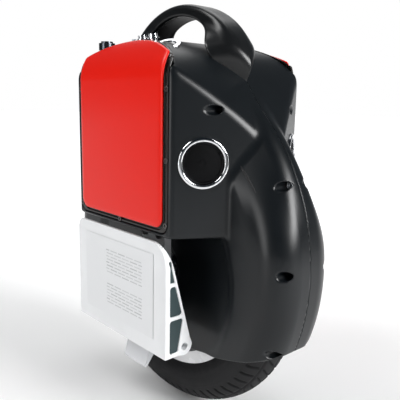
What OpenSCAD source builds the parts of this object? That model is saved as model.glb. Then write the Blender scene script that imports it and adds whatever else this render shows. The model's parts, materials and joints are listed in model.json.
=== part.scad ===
// Self-balancing electric unicycle: one hub-motor wheel between two folding pedals, in a moulded
// body with a side box on each flank and a carrying arch on top.
// +X points forwards, the wheel turns about Y, +Z is up, and the tyre touches Z = 0.
// Each right or left piece is drawn on the +Y side; side(-1) mirrors it to the right (-Y) side.

/* [Wheel] */
// Outer radius of the tyre
tyre_r = 178; // [174:1:180]
// Width of the tyre's section
tyre_w = 56; // [52:1:58]
// Outer radius of the rim flange
rim_r = 128; // [126:1:130]
// Outer radius of the stator
stator_r = 93; // [88:0.5:93]

/* [Body] */
// Half-width of the body over its side boxes
box_y = 98; // [96:0.5:99]
// Half-length of the flat side of a box
box_x = 89.7; // [89:0.1:91]
// Height of the underside of the boxes
box_bottom = 237; // [235:1:239]
// Height of the body's top on its centre line
body_top = 446; // [444:1:450]
// Wall thickness of the moulded shells
wall = 3; // [2.5:0.1:3.2]
// Radius of the arc that forms each end of the fender, seen from the side
crown_r = 230.5; // [230:0.5:233]
// Half-width of the fender at its side walls
fender_y = 45; // [44:0.5:46]

/* [Handle] */
// Radius of the outer arch of the handle
handle_r = 114; // [113:0.5:115]
// Half-width of the handle
handle_y = 18; // [16:0.5:19]

/* [Pedals] */
// Half-length of a pedal along the body
pedal_x = 89; // [86:1:90]
// Height of the folded pedal's upper edge
pedal_top = 232; // [228:1:233]
// Distance of the folded pedal's outer face from the centre plane
pedal_y = 101.5; // [101:0.1:102]
// Radius of a pedal's hinge pin
pin_r = 4; // [3.5:0.1:4.2]

/* [Hidden] */
$fn = 64;

axle_z = tyre_r;             // height of the wheel's axle
big = 600;                   // size of cutting blocks
// Fender: two arcs of radius crown_r whose centres lie crown_x behind and ahead of the axle
crown_x = 34.6;
crown_z = 200;
shoulder_r = 32;             // rounding between the crown and a side wall
lower_edge_r = 500;          // the lower edge of the shells is one shallow arc
lower_edge_z = 85;
recess_r = 128;              // round recess in each flank that clears the folded pedal
recess_y = 40;
hub_hole_r = 36;
// Body seen from the front and from the side
corner_r = 48;               // rounding between a box side and the top
slope_x = 31.9;              // the slanted end faces of a box run from box_x to box_x + slope_x
slope_z = 370;               // height of the hood's slope where it meets the fender
slope_top_z = 428;           // height of the same slope's line at x = 80
top_r = 149;                 // the top is one arc, seen from the side
window_x = 86;               // opening in a box side that takes the bezel
window_bottom = 241;
window_corner_r = 11;
panel_x = 79.5;
panel_bottom = 247;
panel_corner_r = 12;
panel_arch_r = 195;          // arc of the panel's top edge
panel_top = 442;
panel_t = 3;
bezel_t = 3;
bezel_gap = 0.5;
// Screws
pocket_r = 5.2;
pocket_floor_y = 5;
pocket_places = [[168.5, 295.5], [188.5, 210.5], [176, 123]];
hood_pocket_place = [112, 370];
screw_r = 2.5;
screw_head_r = 4.5;
bezel_screw_places = [
    for (s = [-1, 1], z = [251, 318, 389]) [s * 82.8, z],
    [0, 244.3]
];
// Handle
handle_z = 373;              // centre of the outer arch
grip_r = 80;                 // radius and centre height of the finger opening
grip_z = 392.8;
handle_round = 10;
foot_z = 406;                // lower end of the handle's feet on the hood
liner_t = 3;
liner_y = 12;
liner_gap_x = 8;
handle_bolt_x = 76;
handle_bolt_y = 9;
// Speakers on the slanted front faces
speaker_at = [107.7, 69, 316];
speaker_turn = 30.75;        // angle between +X and the face's outward direction
speaker_r = 26;
grille_r = 21.5;
// Fittings on the top, right-hand side
socket_tilt = 8.4;
sockets_y = -57;
charge_x = -12;
data_x = 8;
led_x = -29;
sockets_z = 444.4;
gauge_at = [52, -69, 433];
gauge_tilt = [22, 19];       // about X, then about Y
button_at = [-57, -76, 431];
fitting_gap = 0.3;
socket_neck_r = 4.2;
socket_collar_r = 6.6;
socket_collar_z = 0.4;       // underside of the collar, above the socket's place
socket_collar_t = 1.4;
socket_r = 5;
socket_bore_r = 3.4;
socket_nut_z = -9.5;
led_r = 2;
led_collar_r = 2.6;
gauge_neck_r = 9;
gauge_r = 11.5;
gauge_rim_z = 1.6;
gauge_rim_t = 1.8;
gauge_lens_r = 7.5;
button_neck_r = 8.5;
button_housing_r = 9.5;
button_housing_z = 3.2;
button_housing_t = 8;
button_bore_r = 7.3;
button_r = 7;
button_stem_r = 3.9;
// Batteries and electronics
battery_size = [150, 38, 118];
battery_low = [-75, 46, 252];
sink_size = [110, 72, 4];
sink_z = 368;
sink_fin_h = 7;
sink_fin_pitch = 8.75;
board_size = [116, 76, 1.8];
board_z = 380;
capacitor_r = 9;
capacitor_h = 24;
capacitor_places = [-30, 0, 30];
// Wheel
tyre_section_r = tyre_w / 2;
tyre_mid_r = tyre_r - tyre_section_r;
casing_t = 5.5;
rim_y = 22;
rotor_r = 98;
magnet_t = 4;
axle_r = 8;
axle_hub_r = 14;
axle_half = 62;
bearing_r = 16;
running_gap = 0.05;          // radial clearance of shafts and pins
cover_y = 26;
cover_bolt_r = 105;
cover_bolt_count = 12;
stator_y = 15;
tooth_count = 27;
// Hanger and pedal hinge
hinge_y = 74;
hinge_z = 113;
knuckle_r = 10.5;
hanger_x = 22;
leg_t = 10;
leg_top = 228;
hanger_bolt_r = 3;
hanger_bolt_head_r = 5;
hanger_bolt_places = [for (x = [-14, 14], z = [142, 221]) [x, z]];
pedal_bottom = 104;
pedal_lean = 16;             // slope of the tread plate when folded, which makes it level when open
pedal_skin = 3.5;
pedal_face_t = 6.5;           // thickness of the outer face
pedal_front_r = 26;           // rounding of the upper corners, seen from the side
pedal_rear_r = 13;
pedal_gap_x = hanger_x + 1.5;
knuckle_room_r = knuckle_r + 2;
rib_heights = [149, 187];
plug_t = 4;
plug_recess = 1.2;
grip_t = 1.6;

// ---------- helpers ----------

// Puts a piece drawn on the +Y side on the left (1) or right (-1) side
module side(s) {
    mirror([0, s < 0 ? 1 : 0, 0]) children();
}

// Extrudes an outline drawn in X and Z along +Y, from y0 to y1
module along_y(y0, y1) {
    translate([0, y1, 0]) rotate([90, 0, 0]) linear_extrude(y1 - y0) children();
}

// Extrudes an outline drawn in Y and Z along X, from x0 to x1
module along_x(x0, x1) {
    translate([x0, 0, 0]) rotate([90, 0, 90]) linear_extrude(x1 - x0) children();
}

// Turns an outline drawn in radius and Y about the axle
module about_axle() {
    translate([0, 0, axle_z]) rotate([-90, 0, 0]) rotate_extrude($fn = 128) children();
}

// Cylinder along Y, from y0 to y1, at a place in X and Z
module pin_y(place, r, y0, y1) {
    translate([place[0], y1, place[1]]) rotate([90, 0, 0]) cylinder(r = r, h = y1 - y0);
}

// Rectangle with its two lower corners rounded, centred on x = 0
module round_bottom(half, z0, z1, r) {
    translate([-half, z0 + r]) square([2 * half, z1 - z0 - r]);
    translate([-half + r, z0]) square([2 * (half - r), r + 1]);
    for (s = [-1, 1]) translate([s * (half - r), z0 + r]) circle(r);
}

// ---------- outer form, inset by g ----------

// Section of the fender in radius and Y, for the +Y half
module fender_section(g) {
    square([crown_r - shoulder_r, fender_y - g]);
    square([crown_r - g, fender_y - shoulder_r]);
    translate([crown_r - shoulder_r, fender_y - shoulder_r]) circle(shoulder_r - g);
}

module fender_form(g) {
    for (s = [0, 1]) mirror([s, 0, 0]) intersection() {
        translate([-crown_x, 0, crown_z]) rotate([-90, 0, 0]) rotate_extrude($fn = 128)
            intersection() {
                fender_section(g);
                square([crown_r, fender_y]);
            }
        translate([0, -1, 0]) cube([big, big, big]);
    }
}

// Outline of the body from the front, +Y half
module front_outline(g) {
    square([box_y - g, body_top - corner_r]);
    square([box_y - corner_r, body_top - g]);
    translate([box_y - corner_r, body_top - corner_r]) circle(corner_r - g, $fn = 96);
}

// Outline of the box and hood from the side: a top arc, and straight slopes down to the fender
module side_outline(g) {
    hood = box_x + slope_x - g;
    intersection() {
        polygon([
            [-hood, box_bottom + g], [hood, box_bottom + g], [hood, slope_z - 0.3 * g],
            [80, slope_top_z - 1.7 * g], [60, body_top + 4], [-60, body_top + 4],
            [-80, slope_top_z - 1.7 * g], [-hood, slope_z - 0.3 * g]
        ]);
        union() {
            translate([0, body_top - top_r]) circle(top_r - g, $fn = 128);
            translate([-big / 2, 0]) square([big, 412]);
        }
    }
}

// Outline of the box from above, +Y half
module plan_outline(g) {
    polygon([
        [-box_x - slope_x + g, 0], [box_x + slope_x - g, 0], [box_x + slope_x - g, fender_y],
        [box_x - 0.6 * g, box_y - g], [0.6 * g - box_x, box_y - g],
        [g - box_x - slope_x, fender_y]
    ]);
}

module box_form(g) {
    intersection() {
        linear_extrude(big) plan_outline(g);
        along_y(0, big) side_outline(g);
        along_x(-big, big) front_outline(g);
    }
}

module body_form(g) {
    fender_form(g);
    box_form(g);
}

// Space that the bezel fills in a box side
module window_outline(g) {
    intersection() {
        round_bottom(window_x - g, window_bottom + g, body_top, window_corner_r - g);
        translate([0, panel_top - panel_arch_r]) circle(panel_arch_r + 5 - g, $fn = 128);
    }
}

// A skin between two insets of the front outline
module flank_skin(g_out, g_in) {
    along_x(-big, big) difference() {
        front_outline(g_out);
        front_outline(g_in);
        translate([-10, 0]) square([box_y - corner_r + 28, big]);
    }
}

module panel_outline(g) {
    intersection() {
        round_bottom(panel_x - g, panel_bottom + g, body_top, panel_corner_r - g);
        translate([0, panel_top - panel_arch_r]) circle(panel_arch_r - g, $fn = 128);
    }
}

module speaker_place() {
    translate(speaker_at) rotate([0, 90, speaker_turn]) children();
}

module top_place(x) {
    translate([x, sockets_y, sockets_z]) rotate([socket_tilt, 0, 0]) children();
}

// ---------- body shells ----------

module recess(r, y0) {
    intersection() {
        pin_y([0, axle_z], r, y0, fender_y + 1);
        translate([-big / 2, 0, 0]) cube([big, big, box_bottom]);
    }
}

module shell_half() {
    difference() {
        intersection() {
            body_form(0);
            pin_y([0, lower_edge_z + lower_edge_r], lower_edge_r, 0, big);
        }
        recess(recess_r, recess_y);
        difference() {
            body_form(wall);
            recess(recess_r + wall, recess_y - wall);
            for (sx = [-1, 1], p = pocket_places) pin_y([sx * p[0], p[1]], pocket_r + 1.2, 0, 40);
            for (sx = [-1, 1]) pin_y([sx * hood_pocket_place[0], hood_pocket_place[1]], pocket_r + 2, 0, 75);
        }
        pin_y([0, axle_z], hub_hole_r, 0, big / 4);
        for (sx = [-1, 1], p = pocket_places) {
            pin_y([sx * p[0], p[1]], pocket_r, pocket_floor_y, 60);
            pin_y([sx * p[0], p[1]], screw_r, -1, pocket_floor_y + 1);
        }
        for (sx = [-1, 1]) {
            pin_y([sx * hood_pocket_place[0], hood_pocket_place[1]], pocket_r, pocket_floor_y, 90);
            pin_y([sx * hood_pocket_place[0], hood_pocket_place[1]], screw_r, -1, pocket_floor_y + 1);
        }
        intersection() {
            along_y(0, big) window_outline(0);
            flank_skin(-1, wall + 1);
        }
        speaker_place() translate([0, 0, -6]) cylinder(r = speaker_r - 3, h = 12);
        speaker_place() translate([0, 0, -1]) cylinder(r = speaker_r, h = 5);
        for (p = hanger_bolt_places) pin_y(p, hanger_bolt_r, 30, 45);
        for (sx = [-1, 1]) translate([sx * handle_bolt_x, handle_bolt_y, 400]) cylinder(r = screw_r, h = 40);
    }
}

module shell_right() {
    color([0.10, 0.11, 0.12]) clear_of_fittings() shell_half();
}

module shell_left() {
    color([0.10, 0.11, 0.12]) side(1) shell_half();
}

// Hole for a fitting's neck, opening into a flat seat for its collar
module fitting_room(neck_r, neck_z, collar_r, collar_z) {
    translate([0, 0, neck_z]) cylinder(r = neck_r + fitting_gap, h = collar_z - neck_z + 1);
    translate([0, 0, collar_z]) cylinder(r = collar_r + fitting_gap, h = 12);
}

// Room for the fittings on the top, right-hand side
module top_holes() {
    for (x = [charge_x, data_x]) top_place(x)
        fitting_room(socket_neck_r, -12, socket_collar_r, socket_collar_z);
    top_place(led_x) fitting_room(led_r, -12, led_collar_r, 1);
    gauge_place() fitting_room(gauge_neck_r, -12, gauge_r, gauge_rim_z);
    translate(button_at) fitting_room(button_neck_r, -14, button_housing_r, button_housing_z);
}

// Inner liner that keeps the tyre away from the batteries and electronics
module wheel_well() {
    well_r = tyre_r + 6;
    color([0.08, 0.08, 0.09]) intersection() {
        about_axle() for (s = [0, 1]) mirror([0, s]) {
            translate([well_r, 0]) square([wall, recess_y - wall]);
            translate([hub_hole_r + 20, recess_y - 2 * wall]) square([well_r - hub_hole_r - 20 + wall, wall]);
        }
        translate([-150, -big / 2, box_bottom - 8]) cube([300, big, big]);
    }
}

module shell_screws() {
    color([0.75, 0.77, 0.80])
    for (sx = [-1, 1], p = concat(pocket_places, [hood_pocket_place])) mirror([0, 1, 0]) {
        pin_y([sx * p[0], p[1]], screw_r, -pocket_floor_y, pocket_floor_y);
        pin_y([sx * p[0], p[1]], screw_head_r, pocket_floor_y, pocket_floor_y + 3);
    }
}

// ---------- side bezels and panels ----------

module bezel() {
    difference() {
        intersection() {
            along_y(0, big) window_outline(bezel_gap);
            flank_skin(bezel_gap, bezel_gap + bezel_t);
        }
        for (p = bezel_screw_places) pin_y(p, 1.5, 80, 100);
    }
}

module bezel_screws() {
    for (p = bezel_screw_places) {
        y_head = box_y - bezel_gap;
        pin_y(p, 1.5, y_head - 8, y_head);
        pin_y(p, 2.8, y_head, y_head + 1.4);
    }
}

module panel_seal() {
    intersection() {
        along_y(0, big) difference() {
            panel_outline(1);
            panel_outline(4);
        }
        flank_skin(0, bezel_gap);
    }
}

module side_panel() {
    intersection() {
        along_y(0, big) panel_outline(0);
        flank_skin(-panel_t, 0);
    }
}

// Right-hand piece of a flank, cut clear of the fittings on the top
module clear_of_fittings() {
    difference() {
        side(-1) children();
        top_holes();
    }
}

module bezel_right() { color([0.07, 0.07, 0.08]) clear_of_fittings() bezel(); }
module bezel_left() { color([0.07, 0.07, 0.08]) side(1) bezel(); }
module bezel_screws_right() { color([0.3, 0.3, 0.32]) side(-1) bezel_screws(); }
module bezel_screws_left() { color([0.3, 0.3, 0.32]) side(1) bezel_screws(); }
module panel_seal_right() { color([0.05, 0.05, 0.05]) clear_of_fittings() panel_seal(); }
module panel_seal_left() { color([0.05, 0.05, 0.05]) side(1) panel_seal(); }
module side_panel_right() { color([0.88, 0.12, 0.05]) clear_of_fittings() side_panel(); }
module side_panel_left() { color([0.88, 0.12, 0.05]) side(1) side_panel(); }

// ---------- handle ----------

module arch_disc(half, corner) {
    translate([0, 0, handle_z]) rotate([-90, 0, 0]) rotate_extrude($fn = 128)
        for (s = [0, 1]) mirror([0, s]) {
            square([handle_r - corner, half]);
            square([handle_r, half - corner]);
            translate([handle_r - corner, half - corner]) intersection() {
                circle(corner);
                square(corner);
            }
        }
}

module grip_opening(r) {
    pin_y([0, grip_z], r, -big / 4, big / 4);
}

module liner_slot(r) {
    intersection() {
        pin_y([0, grip_z], r, -liner_y, liner_y);
        translate([-big / 2, -big / 2, body_top + 3]) cube([big, big, big]);
    }
}

module handle_arch() {
    color([0.11, 0.12, 0.13]) difference() {
        intersection() {
            union() {
                arch_disc(handle_y, handle_round);
                intersection() {
                    arch_disc(26, 16);
                    for (sx = [-1, 1]) translate([sx * 80, 0, 0]) cylinder(r = 26, h = body_top - 4);
                }
            }
            translate([-big / 2, -big / 2, foot_z]) cube([big, big, big]);
        }
        grip_opening(grip_r);
        liner_slot(grip_r + liner_t);
        side(-1) body_form(0);
        side(1) body_form(0);
        for (sx = [-1, 1], sy = [-1, 1]) translate([sx * handle_bolt_x, sy * handle_bolt_y, 0])
            cylinder(r = screw_r, h = 446);
    }
}

// One underside liner of the arch, from x0 to x1
module handle_liner(x0, x1) {
    intersection() {
        difference() {
            liner_slot(grip_r + liner_t);
            grip_opening(grip_r);
        }
        translate([x0, -big / 2, 0]) cube([x1 - x0, big, big]);
    }
}

module handle_liner_front() { color([0.06, 0.06, 0.07]) handle_liner(liner_gap_x + 2, big / 4); }
module handle_liner_rear() { color([0.06, 0.06, 0.07]) handle_liner(-big / 4, liner_gap_x - 2); }

module handle_bolts() {
    color("silver") for (sx = [-1, 1], sy = [-1, 1])
        translate([sx * handle_bolt_x, sy * handle_bolt_y, 0]) {
            translate([0, 0, 414]) cylinder(r = screw_r, h = 32);
            translate([0, 0, 410]) cylinder(r = screw_head_r, h = 4);
        }
}

// ---------- speakers ----------

module both_sides() {
    for (s = [-1, 1]) side(s) children();
}

module speaker_rings() {
    color([0.9, 0.9, 0.92]) both_sides() speaker_place() difference() {
        union() {
            translate([0, 0, -1]) cylinder(r = speaker_r, h = 2.6);
            translate([0, 0, -5]) cylinder(r = speaker_r - 3, h = 5);
        }
        translate([0, 0, -6]) cylinder(r = grille_r, h = 9);
    }
}

module speaker_grilles() {
    color([0.04, 0.04, 0.04]) both_sides() speaker_place()
        translate([0, 0, -2]) cylinder(r = grille_r, h = 1.2);
}

module speaker_drivers() {
    color([0.2, 0.2, 0.2]) both_sides() speaker_place() {
        translate([0, 0, -9]) cylinder(r = grille_r, h = 4);
        translate([0, 0, -17]) cylinder(r = 13, h = 8);
    }
}

// ---------- batteries and electronics ----------

module battery() {
    difference() {
        translate(battery_low) cube(battery_size);
        for (x = [-37.5, 0, 37.5]) translate([x - 1, 82, battery_low[2] - 1]) cube([2, 3, battery_size[2] + 2]);
    }
}

module battery_right() { color([0.16, 0.32, 0.55]) side(-1) battery(); }
module battery_left() { color([0.16, 0.32, 0.55]) side(1) battery(); }

module heat_sink() {
    color([0.7, 0.7, 0.72]) {
        corner = [-sink_size[0] / 2, -sink_size[1] / 2, sink_z];
        translate(corner) cube(sink_size);
        for (i = [0:8]) translate(corner + [0, i * sink_fin_pitch, sink_size[2] - 1])
            cube([sink_size[0], 2, sink_fin_h]);
    }
}

module control_board() {
    color([0.05, 0.35, 0.18])
        translate([-board_size[0] / 2, -board_size[1] / 2, board_z]) cube(board_size);
}

module capacitors() {
    color([0.12, 0.12, 0.14]) for (x = capacitor_places)
        translate([x, 0, board_z + board_size[2]]) cylinder(r = capacitor_r, h = capacitor_h);
}

// ---------- fittings on the top ----------

module socket_barrel(x, height) {
    top_place(x) difference() {
        union() {
            translate([0, 0, -10]) cylinder(r = socket_neck_r, h = 11);
            translate([0, 0, socket_collar_z]) cylinder(r = socket_collar_r, h = socket_collar_t);
            translate([0, 0, socket_collar_z + socket_collar_t]) cylinder(r = socket_r, h = height);
        }
        translate([0, 0, -4]) cylinder(r = socket_bore_r, h = height + 12);
    }
}

module charge_socket() { color("silver") socket_barrel(charge_x, 3.6); }
module data_socket() { color("silver") socket_barrel(data_x, 4); }

module charge_socket_insert() {
    color([0.1, 0.1, 0.1]) for (x = [charge_x, data_x]) top_place(x) {
        translate([0, 0, -4]) cylinder(r = socket_bore_r, h = 5);
        for (a = [0:120:240]) rotate(a) translate([1.8, 0, 1]) cylinder(r = 0.5, h = 2.5);
    }
}

module socket_nuts() {
    color([0.7, 0.7, 0.7]) for (x = [charge_x, data_x]) top_place(x) difference() {
        translate([0, 0, socket_nut_z]) cylinder(r = 7, h = 2.5, $fn = 6);
        translate([0, 0, socket_nut_z - 1]) cylinder(r = socket_neck_r, h = 6);
    }
}

module status_led() {
    color([0.85, 0.9, 0.95]) top_place(led_x) {
        translate([0, 0, -6]) cylinder(r = led_r, h = 8.5);
        translate([0, 0, 1]) cylinder(r = led_collar_r, h = 0.8);
    }
}

module gauge_place() {
    translate(gauge_at) rotate([0, gauge_tilt[1], 0]) rotate([gauge_tilt[0], 0, 0]) children();
}

module gauge_bezel() {
    color("silver") gauge_place() difference() {
        union() {
            translate([0, 0, -8]) cylinder(r = gauge_neck_r, h = 11);
            translate([0, 0, gauge_rim_z]) cylinder(r = gauge_r, h = gauge_rim_t);
        }
        translate([0, 0, -3]) cylinder(r = gauge_lens_r, h = 9);
    }
}

module gauge_lens() {
    color([0.1, 0.12, 0.14]) gauge_place() translate([0, 0, -3]) cylinder(r = gauge_lens_r, h = 5.4);
}

module button_housing() {
    color([0.25, 0.26, 0.28]) translate(button_at) difference() {
        union() {
            translate([0, 0, -12]) cylinder(r = button_neck_r, h = 18);
            translate([0, 0, button_housing_z]) cylinder(r = button_housing_r, h = button_housing_t);
        }
        translate([0, 0, 2]) cylinder(r = button_bore_r, h = 20);
        translate([0, 0, -8]) cylinder(r = button_stem_r + 0.2, h = 20);
    }
}

module power_button() {
    color([0.15, 0.16, 0.17]) translate(button_at) {
        translate([0, 0, 5]) cylinder(r = button_r, h = 8.2);
        translate([0, 0, -4]) cylinder(r = button_stem_r, h = 10);
    }
}

// ---------- motor parts fixed to the axle ----------

module axle() {
    color([0.6, 0.6, 0.62]) {
        pin_y([0, axle_z], axle_r, -axle_half, axle_half);
        pin_y([0, axle_z], axle_hub_r, -stator_y, stator_y);
    }
}

module stator() {
    tooth_in = stator_r - 14;
    color([0.45, 0.45, 0.48]) translate([0, 0, axle_z]) along_y(-stator_y, stator_y) difference() {
        union() {
            circle(tooth_in);
            for (i = [0:tooth_count - 1]) rotate(i * 360 / tooth_count)
                translate([tooth_in - 1, -4]) square([14.5, 8]);
        }
        circle(axle_hub_r);
        for (a = [0:60:300]) rotate(a) translate([46, 0]) circle(17);
    }
}

module stator_windings() {
    color([0.75, 0.42, 0.18]) about_axle() for (s = [0, 1]) mirror([0, s])
        translate([stator_r - 16, stator_y]) square([14, 5]);
}

module axle_washers() {
    color("silver") both_sides() difference() {
        pin_y([0, axle_z], 14, recess_y + leg_t, recess_y + leg_t + 2);
        pin_y([0, axle_z], axle_r, recess_y, 70);
    }
}

module axle_nuts() {
    color("silver") both_sides() difference() {
        translate([0, recess_y + leg_t + 10, axle_z]) rotate([90, 0, 0]) cylinder(r = 13, h = 8, $fn = 6);
        pin_y([0, axle_z], axle_r, recess_y, 70);
    }
}

// ---------- hangers ----------

// Section of a hanger in Y and Z: leg on the body's flank, knuckle, and the lug that stops the pedal
module hanger_section() {
    foot_y = recess_y + leg_t;
    polygon([
        [recess_y, leg_top], [foot_y, leg_top], [foot_y, 134], [hinge_y - 6, 121],
        [hinge_y, hinge_z], [66.6, 103.4], [77.6, 65], [77.6, 62], [75.6, 62], [59, 84],
        [50, 97], [recess_y, 112]
    ]);
    translate([hinge_y, hinge_z]) circle(knuckle_r);
}

module hanger() {
    difference() {
        along_x(-hanger_x, hanger_x) hanger_section();
        translate([-big / 2, hinge_y, hinge_z]) rotate([0, 90, 0]) cylinder(r = pin_r + running_gap, h = big);
        pin_y([0, axle_z], axle_r + running_gap, 30, 60);
        for (p = hanger_bolt_places) {
            pin_y(p, hanger_bolt_r, 30, 60);
            pin_y(p, hanger_bolt_head_r + 0.5, recess_y + leg_t, 70);
        }
    }
}

module hanger_right() { color([0.8, 0.8, 0.82]) side(-1) hanger(); }
module hanger_left() { color([0.8, 0.8, 0.82]) side(1) hanger(); }

module hanger_bolts() {
    color([0.3, 0.3, 0.32]) both_sides() for (p = hanger_bolt_places) {
        pin_y(p, hanger_bolt_r, recess_y - wall, recess_y + leg_t);
        pin_y(p, hanger_bolt_head_r, recess_y + leg_t, recess_y + leg_t + 4);
    }
}

// ---------- wheel ----------

module tyre() {
    color([0.13, 0.13, 0.14]) about_axle() difference() {
        translate([tyre_mid_r, 0]) circle(tyre_section_r, $fn = 96);
        translate([tyre_mid_r, 0]) circle(tyre_section_r - casing_t, $fn = 96);
        translate([110, -11]) square([tyre_mid_r - 110, 22]);
        translate([100, -30]) square([20, 60]);
        for (y = [-9, 9]) translate([tyre_r - 3, y - 1]) square([6, 2]);
    }
}

module inner_tube() {
    tube_r = tyre_section_r - casing_t - 0.1;
    color([0.2, 0.2, 0.2]) about_axle() difference() {
        translate([tyre_mid_r, 0]) circle(tube_r, $fn = 96);
        translate([tyre_mid_r, 0]) circle(tube_r - 2, $fn = 96);
    }
}

module rim() {
    flange_y = 17.4;
    color([0.92, 0.92, 0.93]) about_axle() difference() {
        translate([rotor_r, -rim_y]) square([rim_r - rotor_r, 2 * rim_y]);
        translate([119, -flange_y]) square([rim_r, 2 * flange_y]);
        translate([113, -11]) square([10, 22]);
        for (s = [0, 1]) mirror([0, s]) translate([rotor_r - 1, rim_y - 6]) square([4, 7]);
    }
}

module magnet_ring() {
    color([0.5, 0.5, 0.52]) about_axle()
        translate([rotor_r - magnet_t, -stator_y]) square([magnet_t, 2 * stator_y]);
}

module motor_cover() {
    difference() {
        about_axle() {
            translate([bearing_r, rim_y]) square([112 - bearing_r, cover_y - rim_y]);
            translate([bearing_r, rim_y - 6]) square([6, 7]);
            translate([94, rim_y - 4]) square([6.9, 5]);
        }
        for (i = [0:cover_bolt_count - 1]) translate([0, 0, axle_z]) rotate([0, i * 360 / cover_bolt_count, 0])
            pin_y([cover_bolt_r, 0], 2, 0, 40);
    }
}

module motor_cover_right() { color([0.25, 0.25, 0.27]) side(-1) motor_cover(); }
module motor_cover_left() { color([0.25, 0.25, 0.27]) side(1) motor_cover(); }

module cover_bolts() {
    color("silver") both_sides() for (i = [0:cover_bolt_count - 1])
        translate([0, 0, axle_z]) rotate([0, i * 360 / cover_bolt_count, 0]) {
            pin_y([cover_bolt_r, 0], 2, rim_y, cover_y);
            pin_y([cover_bolt_r, 0], 3.6, cover_y, cover_y + 2.5);
        }
}

module wheel_bearings() {
    color("silver") both_sides() difference() {
        pin_y([0, axle_z], bearing_r, rim_y - 6, cover_y);
        pin_y([0, axle_z], axle_r + running_gap, 0, 40);
    }
}

module tyre_valve() {
    color([0.2, 0.2, 0.2]) pin_y([115.5, axle_z], 2.8, rim_y, 31);
}

// ---------- pedals ----------

// Horizontal distance of the tread plate's inner face at a height
function tread_y(z) = hinge_y - knuckle_r / cos(pedal_lean) + (z - hinge_z) * tan(pedal_lean);

module pedal_section() {
    polygon([
        [hinge_y + 2, pedal_bottom], [pedal_y, pedal_bottom], [pedal_y, pedal_top],
        [tread_y(pedal_top), pedal_top], [tread_y(hinge_z), hinge_z]
    ]);
    translate([hinge_y, hinge_z]) circle(knuckle_r);
}

// The three chambers, which show as windows at the pedal's ends
module chamber(z0, z1, y_in) {
    polygon([
        [max(y_in, tread_y(z0) + pedal_skin), z0], [pedal_y - pedal_face_t, z0], [pedal_y - pedal_face_t, z1],
        [min(pedal_y - pedal_face_t - 0.6, tread_y(z1) + pedal_skin), z1]
    ]);
}

module chambers() {
    chamber(pedal_bottom + 5, rib_heights[0] - 2, hinge_y + knuckle_r - 1);
    chamber(rib_heights[0] + 2, rib_heights[1] - 2, 0);
    chamber(rib_heights[1] + 2, 221, 0);
}

// Half of the pedal's outline from the side, on the +X side of x = 0
module pedal_outline_half(g, corner_r) {
    half = pedal_x - g;
    r = corner_r - g;
    translate([-0.01, 0]) square([half + 0.01, pedal_top - g - r]);
    translate([-0.01, 0]) square([half - r + 0.01, pedal_top - g]);
    translate([half - r, pedal_top - g - r]) circle(r);
}

module pedal_outline(g) {
    pedal_outline_half(g, pedal_front_r);
    mirror([1, 0]) pedal_outline_half(g, pedal_rear_r);
}

module pedal() {
    difference() {
        intersection() {
            along_x(-pedal_x, pedal_x) pedal_section();
            along_y(0, 120) pedal_outline(0);
        }
        along_x(-big / 2, big / 2) chambers();
        translate([-big / 2, hinge_y, hinge_z]) rotate([0, 90, 0]) cylinder(r = pin_r, h = big);
        translate([-pedal_gap_x, hinge_y, hinge_z]) rotate([0, 90, 0])
            cylinder(r = knuckle_room_r, h = 2 * pedal_gap_x);
        translate([-pedal_gap_x, 55, 90]) cube([2 * pedal_gap_x, pedal_y - pedal_face_t - 55, 36]);
    }
}

module pedal_grip() {
    intersection() {
        along_x(-pedal_x + 8, pedal_x - 8) polygon([
            [tread_y(134), 134], [tread_y(224), 224],
            [tread_y(224) - grip_t, 224], [tread_y(134) - grip_t, 134]
        ]);
        along_y(0, 120) pedal_outline(8);
    }
}

// Plugs that close the chambers at both ends
module pedal_plugs() {
    intersection() {
        union() for (sx = [-1, 1])
            along_x(sx < 0 ? -pedal_x + plug_recess : pedal_x - plug_recess - plug_t,
                    sx < 0 ? -pedal_x + plug_recess + plug_t : pedal_x - plug_recess) chambers();
        along_y(0, 120) pedal_outline(plug_recess);
    }
}

// Two headless hinge pins, each from a pedal end to the middle of the hanger's knuckle
module pedal_pins() {
    for (sx = [-1, 1]) translate([sx < 0 ? -pedal_x + 6 : 1, hinge_y, hinge_z]) rotate([0, 90, 0])
        cylinder(r = pin_r, h = pedal_x - 7);
}

module pedal_label() {
    translate([-70, pedal_y, 122]) cube([138, 0.3, 96]);
}

module pedal_right() { color([0.9, 0.9, 0.92]) side(-1) pedal(); }
module pedal_left() { color([0.9, 0.9, 0.92]) side(1) pedal(); }
module pedal_grip_right() { color([0.1, 0.1, 0.1]) side(-1) pedal_grip(); }
module pedal_grip_left() { color([0.1, 0.1, 0.1]) side(1) pedal_grip(); }
module pedal_plugs_right() { color([0.13, 0.19, 0.2]) side(-1) pedal_plugs(); }
module pedal_plugs_left() { color([0.13, 0.19, 0.2]) side(1) pedal_plugs(); }
module pedal_pins_right() { color("silver") side(-1) pedal_pins(); }
module pedal_pins_left() { color("silver") side(1) pedal_pins(); }
module pedal_label_right() { color([0.8, 0.8, 0.82]) side(-1) pedal_label(); }
module pedal_label_left() { color([0.8, 0.8, 0.82]) side(1) pedal_label(); }

// ---------- what is drawn ----------

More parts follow.
